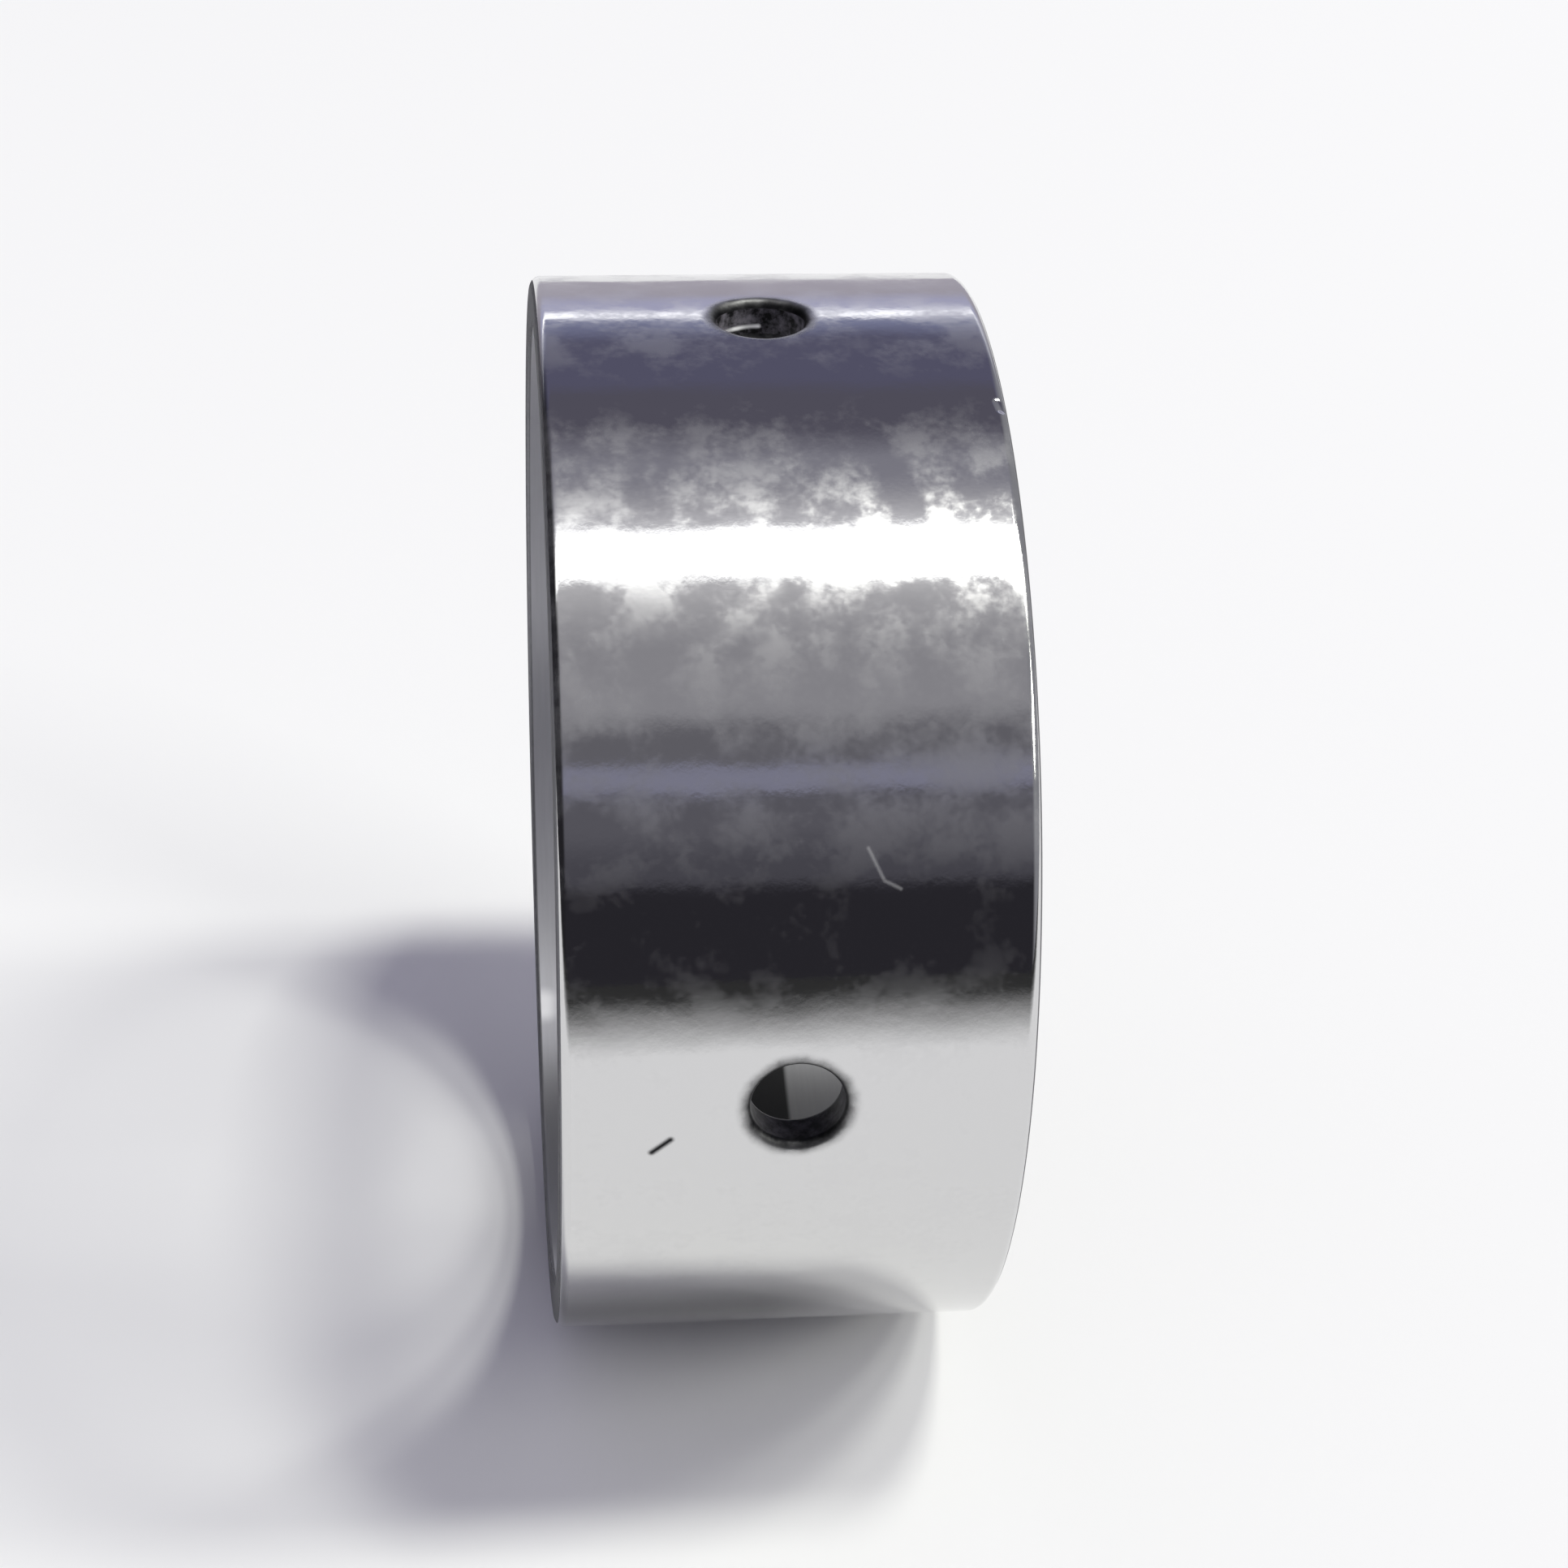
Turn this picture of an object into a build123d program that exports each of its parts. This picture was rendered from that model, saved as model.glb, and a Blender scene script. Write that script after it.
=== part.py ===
from build123d import *
import os

# Thin-walled plain bushing with radial lubrication holes. Millimetres.
# The ring stands on one end face, its axis along +Z, its origin at the centre of that face.

# Ring
BORE_DIAMETER = 46.0
WALL = 2.0
WIDTH = 20.0
OUTSIDE_RIM_ROUND = 0.5  # rolled-over edge between the outside and each end face
BORE_RIM_BREAK = 0.2  # broken edge between the bore and each end face

# Radial holes, spaced evenly around the ring at half its width
HOLE_DIAMETER = 4.0
HOLE_COUNT = 4
HOLE_MOUTH_BREAK = 0.2  # broken edge where a hole meets the outside and the bore
DRILL_OVERRUN = 2.0  # how far the drill passes each surface of the wall

MID_WALL_RADIUS = BORE_DIAMETER / 2 + WALL / 2

# The wall section lies in a plane midway between two holes, so that its seam crosses no hole.
HOLE_SPACING = 360 / HOLE_COUNT
SECTION_PLANE = Plane.XZ.rotated((0, 0, HOLE_SPACING / 2))


def turned_blank():
    """The ring before drilling: its wall section, with worked corners, revolved about Z."""
    with BuildPart() as blank:
        with BuildSketch(SECTION_PLANE) as section:
            with Locations((MID_WALL_RADIUS, WIDTH / 2)):
                Rectangle(WALL, WIDTH)
            fillet(section.vertices().group_by(Axis.X)[-1], OUTSIDE_RIM_ROUND)
            chamfer(section.vertices().group_by(Axis.X)[0], BORE_RIM_BREAK)
        revolve(axis=Axis.Z)
    return blank.part


def drills():
    """One cylinder for each radial hole, all at half width and pointing away from the axis."""
    with BuildPart() as cutters:
        with Locations((0, 0, WIDTH / 2)):
            with PolarLocations(MID_WALL_RADIUS, HOLE_COUNT):
                Cylinder(HOLE_DIAMETER / 2, WALL + 2 * DRILL_OVERRUN, rotation=(0, 90, 0))
    return cutters.part


def hole_mouths(ring):
    """The saddle-shaped edges where the hole walls meet the outside and the bore."""
    return ring.edges().filter_by(GeomType.BSPLINE)


def bushing():
    """The finished ring: blank, radial holes, and a broken edge around both mouths of each."""
    drilled = turned_blank() - drills()
    return chamfer(hole_mouths(drilled), HOLE_MOUTH_BREAK)


os.makedirs("parts", exist_ok=True)
export_step(bushing(), "parts/bushing.step")
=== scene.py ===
"""Thin-walled steel bushing with four radial lubrication holes, dressed around its CAD part.

The ring's axis is +Z and it stands on the plane z = 0. One operator makes the polished ring that stands
for the CAD node "bushing", and one makes the studio: floors, lamps, surroundings and camera.
"""
import math

import bpy
import numpy as np
from mathutils import Matrix, Vector


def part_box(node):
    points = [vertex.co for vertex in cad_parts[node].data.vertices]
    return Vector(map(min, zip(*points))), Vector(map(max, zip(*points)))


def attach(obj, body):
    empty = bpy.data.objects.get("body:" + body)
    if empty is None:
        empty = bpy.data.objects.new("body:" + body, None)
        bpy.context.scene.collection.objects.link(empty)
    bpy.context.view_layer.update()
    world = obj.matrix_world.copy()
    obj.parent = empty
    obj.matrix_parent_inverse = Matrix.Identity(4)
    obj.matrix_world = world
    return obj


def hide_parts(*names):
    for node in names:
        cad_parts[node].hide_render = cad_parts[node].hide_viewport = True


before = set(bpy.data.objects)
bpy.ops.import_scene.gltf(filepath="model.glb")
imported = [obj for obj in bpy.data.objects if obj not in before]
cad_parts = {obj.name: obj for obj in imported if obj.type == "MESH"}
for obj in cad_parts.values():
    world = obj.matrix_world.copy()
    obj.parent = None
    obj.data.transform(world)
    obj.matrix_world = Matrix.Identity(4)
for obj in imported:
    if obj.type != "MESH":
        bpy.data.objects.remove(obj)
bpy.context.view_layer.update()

bl_info = {
    "name": "Lubrication bushing",
    "version": (1, 0, 0),
    "blender": (4, 5, 0),
    "location": "3D View > Sidebar > Bushing",
    "description": "Builds a polished steel ring bushing and the studio it is shown in",
    "category": "Add Mesh",
}

MM = 0.001
NODE = "bushing"
BODY = "root"
RING_LOW, RING_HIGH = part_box(NODE)
RADIUS = (RING_HIGH.y - RING_LOW.y) / 2
WIDTH = RING_HIGH.z - RING_LOW.z


def linear(code):
    """The linear RGBA of an sRGB hex colour."""
    parts = [int(code[i:i + 2], 16) / 255 for i in (0, 2, 4)]
    return [p / 12.92 if p <= 0.04045 else ((p + 0.055) / 1.055) ** 2.4 for p in parts] + [1.0]


# ---------------------------------------------------------------- settings

class BushingRingSettings(bpy.types.PropertyGroup):
    """Sizes and finish of the ring."""

    radius: bpy.props.FloatProperty(
        name="Outside radius", description="Radius of the outside, from the CAD part",
        default=RADIUS, unit="LENGTH", subtype="DISTANCE", precision=5)
    width: bpy.props.FloatProperty(
        name="Width", description="Width of the ring along its axis, from the CAD part",
        default=WIDTH, unit="LENGTH", subtype="DISTANCE", precision=5)
    wall: bpy.props.FloatProperty(
        name="Wall", description="Thickness of the wall between bore and outside",
        default=2.0 * MM, unit="LENGTH", subtype="DISTANCE", precision=5)
    rim_round: bpy.props.FloatProperty(
        name="Outside rim round", description="Radius of the rolled edge between outside and end face",
        default=0.5 * MM, unit="LENGTH", subtype="DISTANCE", precision=5)
    bore_rim: bpy.props.FloatProperty(
        name="Bore rim round", description="Radius of the broken edge between bore and end face",
        default=0.2 * MM, unit="LENGTH", subtype="DISTANCE", precision=5)
    hole_diameter: bpy.props.FloatProperty(
        name="Hole diameter", description="Diameter of each radial lubrication hole",
        default=4.0 * MM, unit="LENGTH", subtype="DISTANCE", precision=5)
    hole_lip: bpy.props.FloatProperty(
        name="Hole lip", description="Radius of the rolled lip around each mouth of a hole",
        default=0.4 * MM, unit="LENGTH", subtype="DISTANCE", precision=5)
    hole_count: bpy.props.IntProperty(
        name="Holes", description="Number of radial holes around the ring", default=4, min=4, max=4)
    steel: bpy.props.FloatVectorProperty(
        name="Steel", description="Colour of the polished steel, linear",
        default=linear("D4D4D4")[:3], size=3, subtype="COLOR")
    roughness: bpy.props.FloatProperty(
        name="Roughness", description="Roughness of the polished face where it is clean",
        default=0.07, subtype="FACTOR")


class BushingStudioSettings(bpy.types.PropertyGroup):
    """Floor, lamps and surroundings of the studio."""

    floor: bpy.props.FloatVectorProperty(
        name="Floor", description="Colour of the pale floor, linear",
        default=linear("F4F4F4")[:3], size=3, subtype="COLOR")
    lamp_light: bpy.props.FloatProperty(
        name="Lamp light", description="Light of the lamps on the floor, where 1 shows white as white",
        default=0.765)
    lamp_colour: bpy.props.FloatVectorProperty(
        name="Lamp colour", description="Colour of the lamps, a little warm",
        default=linear("FDFEF5")[:3], size=3, subtype="COLOR")
    fill: bpy.props.FloatVectorProperty(
        name="Fill light", description="Even light from all round, linear",
        default=linear("9593A3")[:3], size=3, subtype="COLOR")
    card_strength: bpy.props.FloatProperty(
        name="Card strength", description="Brightness of the cards that the ring reflects", default=1.5)


# ---------------------------------------------------------------- small tools

def add_node(tree, kind, sockets=None, **settings):
    """Adds one node: settings go on the node, and each socket gets a value or a link.

    A Mix node has several sockets of one name, so its sockets go by number: 0 is the share, 2 and 3 are its
    two numbers, and 6 and 7 are its two colours."""
    made = tree.nodes.new(kind)
    for key, value in settings.items():
        setattr(made, key, value)
    for key, value in (sockets or {}).items():
        if isinstance(value, bpy.types.NodeSocket):
            tree.links.new(value, made.inputs[key])
        else:
            made.inputs[key].default_value = value
    return made


def new_material(name):
    """An empty node material and its tree."""
    material = bpy.data.materials.new(name)
    material.use_nodes = True
    material.node_tree.nodes.clear()
    return material, material.node_tree


# ---------------------------------------------------------------- surfaces of the ring

# The ring's finishes, by the place of their material on it.
OUTSIDE, BORE, HOLE, END = 0, 1, 2, 3
# How far round the rolled rim the polish of the outside goes, from the outside towards the end face.
POLISHED_TO = math.radians(52)
# How many points there are along the polished and the ground part of a rim, the flat face and the bore rim.
RIM_POINTS, GROUND_RIM_POINTS, FACE_POINTS, BORE_RIM_POINTS = 8, 4, 8, 11
# How many rows of points there are from a hole's lip to its patch's border, across the lip, and down the
# wall.
SKIRT_ROWS, LIP_ROWS, WALL_ROWS = 13, 10, 9
# How many points there are along a side of a hole's patch, round the ring between patches, and across the
# ring from a patch to the rim.
PATCH_POINTS, BETWEEN_POINTS, BESIDE_POINTS = 27, 75, 17
# Half the side of the square patch round a hole, in radii of the hole.
PATCH_REACH = 2.1
# Points nearer than this are one point.
WELD_DISTANCE = 1e-7


def grid_faces(rows, columns, start):
    """The quads of a grid of rows x columns points that are numbered row by row from start."""
    index = np.arange(rows * columns).reshape(rows, columns) + start
    corners = (index[:-1, :-1], index[1:, :-1], index[1:, 1:], index[:-1, 1:])
    return np.stack([c.ravel() for c in corners], axis=1)


def cylinder_patch(radius, side, angles, heights):
    """A piece of a cylinder about Z: (radius cos a, radius sin a, z) over a grid of angles and heights.

    Its normal is (cos a, sin a, 0), times side, which is 1 for the outside and -1 for the bore."""
    a, z = np.meshgrid(angles, heights, indexing="ij")
    out = np.stack([np.cos(a), np.sin(a), np.zeros_like(a)], axis=-1)
    points = radius * out
    points[..., 2] = z
    return points, side * out


def end_face(s, angles, top, part):
    """One end of the ring: a profile of radius and height, carried round the axis.

    From the outside inwards the profile is a quarter circle of the rim round, then the flat face and a
    quarter circle of the bore rim. The part "rim" is the first quarter circle up to POLISHED_TO, and the
    part "face" is the rest. The normal turns with the quarter circles and is along the axis on the flat."""
    outer = s.radius - s.rim_round
    inner = s.radius - s.wall + s.bore_rim
    if part == "rim":
        turn = np.linspace(0, POLISHED_TO, RIM_POINTS)
    else:
        turn = np.linspace(POLISHED_TO, math.pi / 2, GROUND_RIM_POINTS)
    reach = outer + s.rim_round * np.cos(turn)
    depth = s.rim_round * (1 - np.sin(turn))
    lean, rise = np.cos(turn), np.sin(turn)
    if part == "face":
        flat = np.linspace(outer, inner, FACE_POINTS)[1:-1]
        turn = np.linspace(0, math.pi / 2, BORE_RIM_POINTS)
        reach = np.concatenate([reach, flat, inner - s.bore_rim * np.sin(turn)])
        depth = np.concatenate([depth, 0 * flat, s.bore_rim * (1 - np.cos(turn))])
        lean = np.concatenate([lean, 0 * flat, -np.sin(turn)])
        rise = np.concatenate([rise, 1 + 0 * flat, np.cos(turn)])
    height, sign = (s.width - depth, 1) if top else (depth, -1)
    a, r = np.meshgrid(angles, reach, indexing="ij")
    points = np.stack([r * np.cos(a), r * np.sin(a), np.broadcast_to(height, a.shape)], axis=-1)
    normals = np.stack([lean * np.cos(a), lean * np.sin(a), np.broadcast_to(sign * rise, a.shape)], axis=-1)
    return points, normals


def square_border(angles, heights):
    """The angles and heights of a patch's border, once round from its first corner and back to it."""
    first, last = np.full_like(heights, angles[0]), np.full_like(heights, angles[-1])
    low, high = np.full_like(angles, heights[0]), np.full_like(angles, heights[-1])
    a = np.concatenate([angles[:-1], last[:-1], angles[:0:-1], first[::-1]])
    z = np.concatenate([low[:-1], heights[:-1], high[:-1], heights[::-1]])
    return a, z


def hole_skirt(s, radius, side, border, turn):
    """The cylinder between a hole's lip and the border of its patch.

    In the plane across the hole, a point is a straight blend from the lip's circle of hole radius plus lip
    to the border, and its distance from the plane puts it on the cylinder: x = sqrt(radius^2 - y^2)."""
    reach = s.hole_diameter / 2 + s.hole_lip
    share = np.linspace(0, 1, SKIRT_ROWS)[:, None]
    y = (1 - share) * reach * np.cos(turn) + share * radius * np.sin(border[0])
    z = (1 - share) * reach * np.sin(turn) + share * (border[1] - s.width / 2)
    x = np.sqrt(radius ** 2 - y ** 2)
    normals = side * np.stack([x, y, 0 * z], axis=-1) / radius
    return np.stack([x, y, z], axis=-1), normals


def hole_lip(s, radius, side, turn):
    """The rolled lip between a cylinder and the wall of a hole.

    At the angle t from 0 to 90 degrees the lip is at the distance r = hole radius + lip (1 - sin t) from
    the hole's axis, and lip (1 - cos t) below the height that the cylinder has there, which is
    sqrt(radius^2 - y^2). So it leaves the cylinder and meets the wall without a corner. Its normal is the
    cross product of both slopes."""
    t, p = np.meshgrid(np.linspace(0, math.pi / 2, LIP_ROWS), turn, indexing="ij")
    lip = s.hole_lip
    r = s.hole_diameter / 2 + lip * (1 - np.sin(t))
    height = np.sqrt(radius ** 2 - (r * np.cos(p)) ** 2)
    x = height - side * lip * (1 - np.cos(t))
    points = np.stack([x, r * np.cos(p), r * np.sin(p)], axis=-1)
    step_t = -lip * np.cos(t)
    along_t = np.stack([-r * np.cos(p) ** 2 / height * step_t - side * lip * np.sin(t),
                        step_t * np.cos(p), step_t * np.sin(p)], axis=-1)
    along_p = np.stack([r ** 2 * np.cos(p) * np.sin(p) / height, -r * np.sin(p), r * np.cos(p)], axis=-1)
    normals = side * np.cross(along_p, along_t)
    return points, normals / np.linalg.norm(normals, axis=-1, keepdims=True)


def hole_wall(s, turn):
    """The drilled wall between the two lips: straight lines along the hole's axis from one lip to the other,
    at the hole's radius, with the normal pointing to the axis."""
    bore = s.radius - s.wall
    y = s.hole_diameter / 2 * np.cos(turn)
    z = s.hole_diameter / 2 * np.sin(turn)
    top = np.sqrt(s.radius ** 2 - y ** 2) - s.hole_lip
    low = np.sqrt(bore ** 2 - y ** 2) + s.hole_lip
    share = np.linspace(0, 1, WALL_ROWS)[:, None]
    x = (1 - share) * top + share * low
    points = np.stack([x, np.broadcast_to(y, x.shape), np.broadcast_to(z, x.shape)], axis=-1)
    inward = np.stack([0 * turn, -np.cos(turn), -np.sin(turn)], axis=-1)
    return points, np.broadcast_to(inward, points.shape)


def turned(block, angle, height):
    """A block of points and normals turned about Z and lifted."""
    c, s = math.cos(angle), math.sin(angle)
    spin = np.array([[c, -s, 0], [s, c, 0], [0, 0, 1]])
    points, normals = block
    return points @ spin.T + np.array([0, 0, height]), normals @ spin.T


def ring_blocks(s):
    """Every grid of the ring and its finish: each quarter has its outside, bore, both ends and a hole."""
    quarter = 2 * math.pi / s.hole_count
    patch = PATCH_REACH * s.hole_diameter / 2
    half = math.asin(patch / s.radius)
    near = np.linspace(-half, half, PATCH_POINTS)
    between = np.linspace(half, quarter - half, BETWEEN_POINTS)
    mid = s.width / 2 + np.linspace(-patch, patch, PATCH_POINTS)
    bore = s.radius - s.wall
    blocks = []
    for k in range(s.hole_count):
        angle = k * quarter
        for radius, side, rim, finish in ((s.radius, 1, s.rim_round, OUTSIDE),
                                          (bore, -1, s.bore_rim, BORE)):
            low = np.linspace(rim, mid[0], BESIDE_POINTS)
            high = np.linspace(mid[-1], s.width - rim, BESIDE_POINTS)
            full = np.concatenate([low, mid[1:-1], high])
            for angles, heights in ((between, full), (near, low), (near, high)):
                blocks.append((turned(cylinder_patch(radius, side, angles, heights), angle, 0), finish))
            border = square_border(near, mid)
            turn = np.arctan2(border[1] - s.width / 2, s.radius * np.sin(border[0]))
            skirt = hole_skirt(s, radius, side, border, turn)
            blocks.append((turned(skirt, angle, s.width / 2), finish))
            blocks.append((turned(hole_lip(s, radius, side, turn), angle, s.width / 2), OUTSIDE))
        blocks.append((turned(hole_wall(s, turn), angle, s.width / 2), HOLE))
        for angles in (near, between):
            for top in (True, False):
                blocks.append((turned(end_face(s, angles, top, "rim"), angle, 0), OUTSIDE))
                blocks.append((turned(end_face(s, angles, top, "face"), angle, 0), END))
    return blocks


def welded(blocks):
    """One closed mesh from grids that share their borders.

    Points nearer than WELD_DISTANCE become one, with the mean of their normals, and each quad is turned so
    that it faces the same way as its points' normals."""
    sizes = [block[0].shape[:2] for block, _ in blocks]
    starts = np.cumsum([0] + [rows * columns for rows, columns in sizes])
    faces = np.concatenate([grid_faces(*size, start) for size, start in zip(sizes, starts)])
    finishes = np.concatenate([np.full((rows - 1) * (columns - 1), finish)
                               for (rows, columns), (_, finish) in zip(sizes, blocks)])
    points = np.concatenate([block[0].reshape(-1, 3) for block, _ in blocks])
    normals = np.concatenate([block[1].reshape(-1, 3) for block, _ in blocks])
    keys = np.round(points / WELD_DISTANCE).astype(np.int64)
    _, first, index = np.unique(keys, axis=0, return_index=True, return_inverse=True)
    index = index.ravel()
    mean = np.zeros((len(first), 3))
    np.add.at(mean, index, normals)
    mean /= np.linalg.norm(mean, axis=1, keepdims=True)
    points, faces = points[first], index[faces]
    across = np.cross(points[faces[:, 2]] - points[faces[:, 0]], points[faces[:, 3]] - points[faces[:, 1]])
    flip = np.einsum("ij,ij->i", across, mean[faces].mean(axis=1)) < 0
    faces[flip] = faces[flip][:, ::-1]
    return points, mean, faces, finishes


# ---------------------------------------------------------------- materials

def in_millimetres(tree, stretch=(1, 1, 1)):
    """The place on the piece in millimetres, with each axis scaled by stretch."""
    place = add_node(tree, "ShaderNodeTexCoord").outputs["Object"]
    scale = tuple(k / MM for k in stretch)
    return add_node(tree, "ShaderNodeMapping", {"Vector": place, "Scale": scale}).outputs[0]


def near_line(tree, mm, start, end, reach):
    """1 on the line from start to end, falling to 0 at reach from it, with all of them in millimetres.

    The place along the line is the dot product with its direction, kept between 0 and the line's length."""
    run = Vector(end) - Vector(start)
    way = run.normalized()
    apart = add_node(tree, "ShaderNodeVectorMath", {0: mm, 1: start}, operation="SUBTRACT").outputs[0]
    along = add_node(tree, "ShaderNodeVectorMath", {0: apart, 1: way},
                     operation="DOT_PRODUCT").outputs["Value"]
    kept = add_node(tree, "ShaderNodeClamp", {"Value": along, "Min": 0.0, "Max": run.length}).outputs[0]
    nearest = add_node(tree, "ShaderNodeVectorMath", {0: way, "Scale": kept}, operation="SCALE").outputs[0]
    off = add_node(tree, "ShaderNodeVectorMath", {0: apart, 1: nearest},
                   operation="DISTANCE").outputs["Value"]
    return add_node(tree, "ShaderNodeMapRange",
                    {"Value": off, "From Min": reach, "From Max": 0.0, "To Min": 0.0, "To Max": 1.0},
                    interpolation_type="SMOOTHSTEP").outputs[0]


def near_bend(tree, mm, start, middle, end, reach):
    """The larger of what near_line gives for the two runs of a bent line."""
    first = near_line(tree, mm, start, middle, reach)
    second = near_line(tree, mm, middle, end, reach)
    return add_node(tree, "ShaderNodeMath", {0: first, 1: second}, operation="MAXIMUM").outputs[0]


# Where a cloth has wiped or smeared the film of oil on the outside: start and end in millimetres, reach, and
# the change of film.
WIPES = (
    ((24.2, 6.2, 0.0), (24.2, 6.2, 20.0), 3.0, -1.0),
    ((8.3, 23.6, 0.0), (8.3, 23.6, 20.0), 5.0, -0.8),
    ((-1.0, 25.0, 0.0), (-1.0, 25.0, 20.0), 9.0, -0.8),
    ((-16.0, 19.2, 0.0), (-16.0, 19.2, 20.0), 12.0, -1.0),
    ((23.27, 9.15, 13.9), (21.32, 13.06, 15.5), 1.0, -0.8),
    ((19.58, 15.54, 9.2), (17.67, 17.69, 6.4), 0.9, 0.6),
    ((17.66, 17.70, 7.1), (18.14, 17.20, 8.7), 0.6, -0.5),
)
# The share of specks in the film's noise, and the noise where the film begins and where it is thick.
SPECK_SHARE = 0.2
FILM_BEGINS, FILM_THICK = 0.38, 0.64
# What a thick film takes from the metal's share of the surface, and what it adds to its roughness.
FILM_VEIL, FILM_ROUGHNESS = 0.075, 0.13


def film_of_oil(tree, mm):
    """0 where the outside is clean and 1 where its film of oil is thick.

    The film lies in clouds a few millimetres across, broken into specks of a third of a millimetre, and is
    changed where it has been wiped or smeared."""
    clouds = add_node(tree, "ShaderNodeTexNoise",
                      {"Vector": mm, "Scale": 0.42, "Detail": 3.5, "Roughness": 0.56}).outputs["Fac"]
    specks = add_node(tree, "ShaderNodeTexNoise",
                      {"Vector": mm, "Scale": 3.2, "Detail": 2.0, "Roughness": 0.5}).outputs["Fac"]
    both = add_node(tree, "ShaderNodeMix", {0: SPECK_SHARE, 2: clouds, 3: specks},
                    data_type="FLOAT").outputs[0]
    film = add_node(tree, "ShaderNodeMapRange",
                    {"Value": both, "From Min": FILM_BEGINS, "From Max": FILM_THICK},
                    interpolation_type="SMOOTHSTEP").outputs[0]
    for start, end, reach, change in WIPES:
        wiped = near_line(tree, mm, start, end, reach)
        film = add_node(tree, "ShaderNodeMath", {0: wiped, 1: change, 2: film}, operation="MULTIPLY_ADD",
                        use_clamp=True).outputs[0]
    return film


# How far from a hole's axis the painted shade round its mouth begins to fade and is gone, in millimetres,
# how far its edge wanders, and how much rougher the painted place is than the steel.
LIP_SHADE_FADES_FROM, LIP_SHADE_GONE_FROM = 1.95, 2.75
LIP_SHADE_EDGE_WANDERS = 0.5
DARK_LIP_ROUGHNESS = 0.45


def painted_shade_round_holes(tree, mm, ragged):
    """Painted shade of the hole lips: 1 at each hole's mouth, falling to 0 past its lip, with an edge that
    the noise in ragged moves.

    The holes point along X and Y at half width, so the distance from the nearest hole's axis is the length
    of the smaller of |x| and |y| together with the height from half width. The noise is about a half on
    average, so half of what it adds goes on the limits too."""
    place = add_node(tree, "ShaderNodeSeparateXYZ", {"Vector": mm}).outputs
    across = add_node(tree, "ShaderNodeMath", {0: place["X"]}, operation="ABSOLUTE").outputs[0]
    aside = add_node(tree, "ShaderNodeMath", {0: place["Y"]}, operation="ABSOLUTE").outputs[0]
    near = add_node(tree, "ShaderNodeMath", {0: across, 1: aside}, operation="MINIMUM").outputs[0]
    high = add_node(tree, "ShaderNodeMath", {0: place["Z"], 1: WIDTH / 2 / MM},
                    operation="SUBTRACT").outputs[0]
    both = add_node(tree, "ShaderNodeCombineXYZ", {"X": near, "Y": high}).outputs[0]
    off = add_node(tree, "ShaderNodeVectorMath", {0: both}, operation="LENGTH").outputs["Value"]
    off = add_node(tree, "ShaderNodeMath", {0: ragged, 1: LIP_SHADE_EDGE_WANDERS, 2: off},
                   operation="MULTIPLY_ADD").outputs[0]
    limits = {"From Min": LIP_SHADE_GONE_FROM + LIP_SHADE_EDGE_WANDERS / 2,
              "From Max": LIP_SHADE_FADES_FROM + LIP_SHADE_EDGE_WANDERS / 2}
    return add_node(tree, "ShaderNodeMapRange", {"Value": off, **limits},
                    interpolation_type="SMOOTHSTEP").outputs[0]


# Small marks on the outside, each with its points in millimetres and its reach: a pale scratch with a bend,
# a dark nick, and a dent in the upper rim.
SCRATCH = ((11.10, 22.40, 12.74), (9.87, 22.97, 13.39), (9.55, 23.11, 14.06), 0.13)
NICK = ((-2.15, 24.91, 3.86), (-1.48, 24.96, 4.64), 0.25)
DENT = ((23.95, 7.17, 19.60), (23.80, 7.65, 19.68), 0.30)
DENT_DEPTH = 0.08
# How much of the mirror the scratch takes away.
SCRATCH_DULLS = 0.25
# Heights of the lapping's short and long waves, in millimetres.
SHORT_WAVES, LONG_WAVES = 0.006, 0.03


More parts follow.
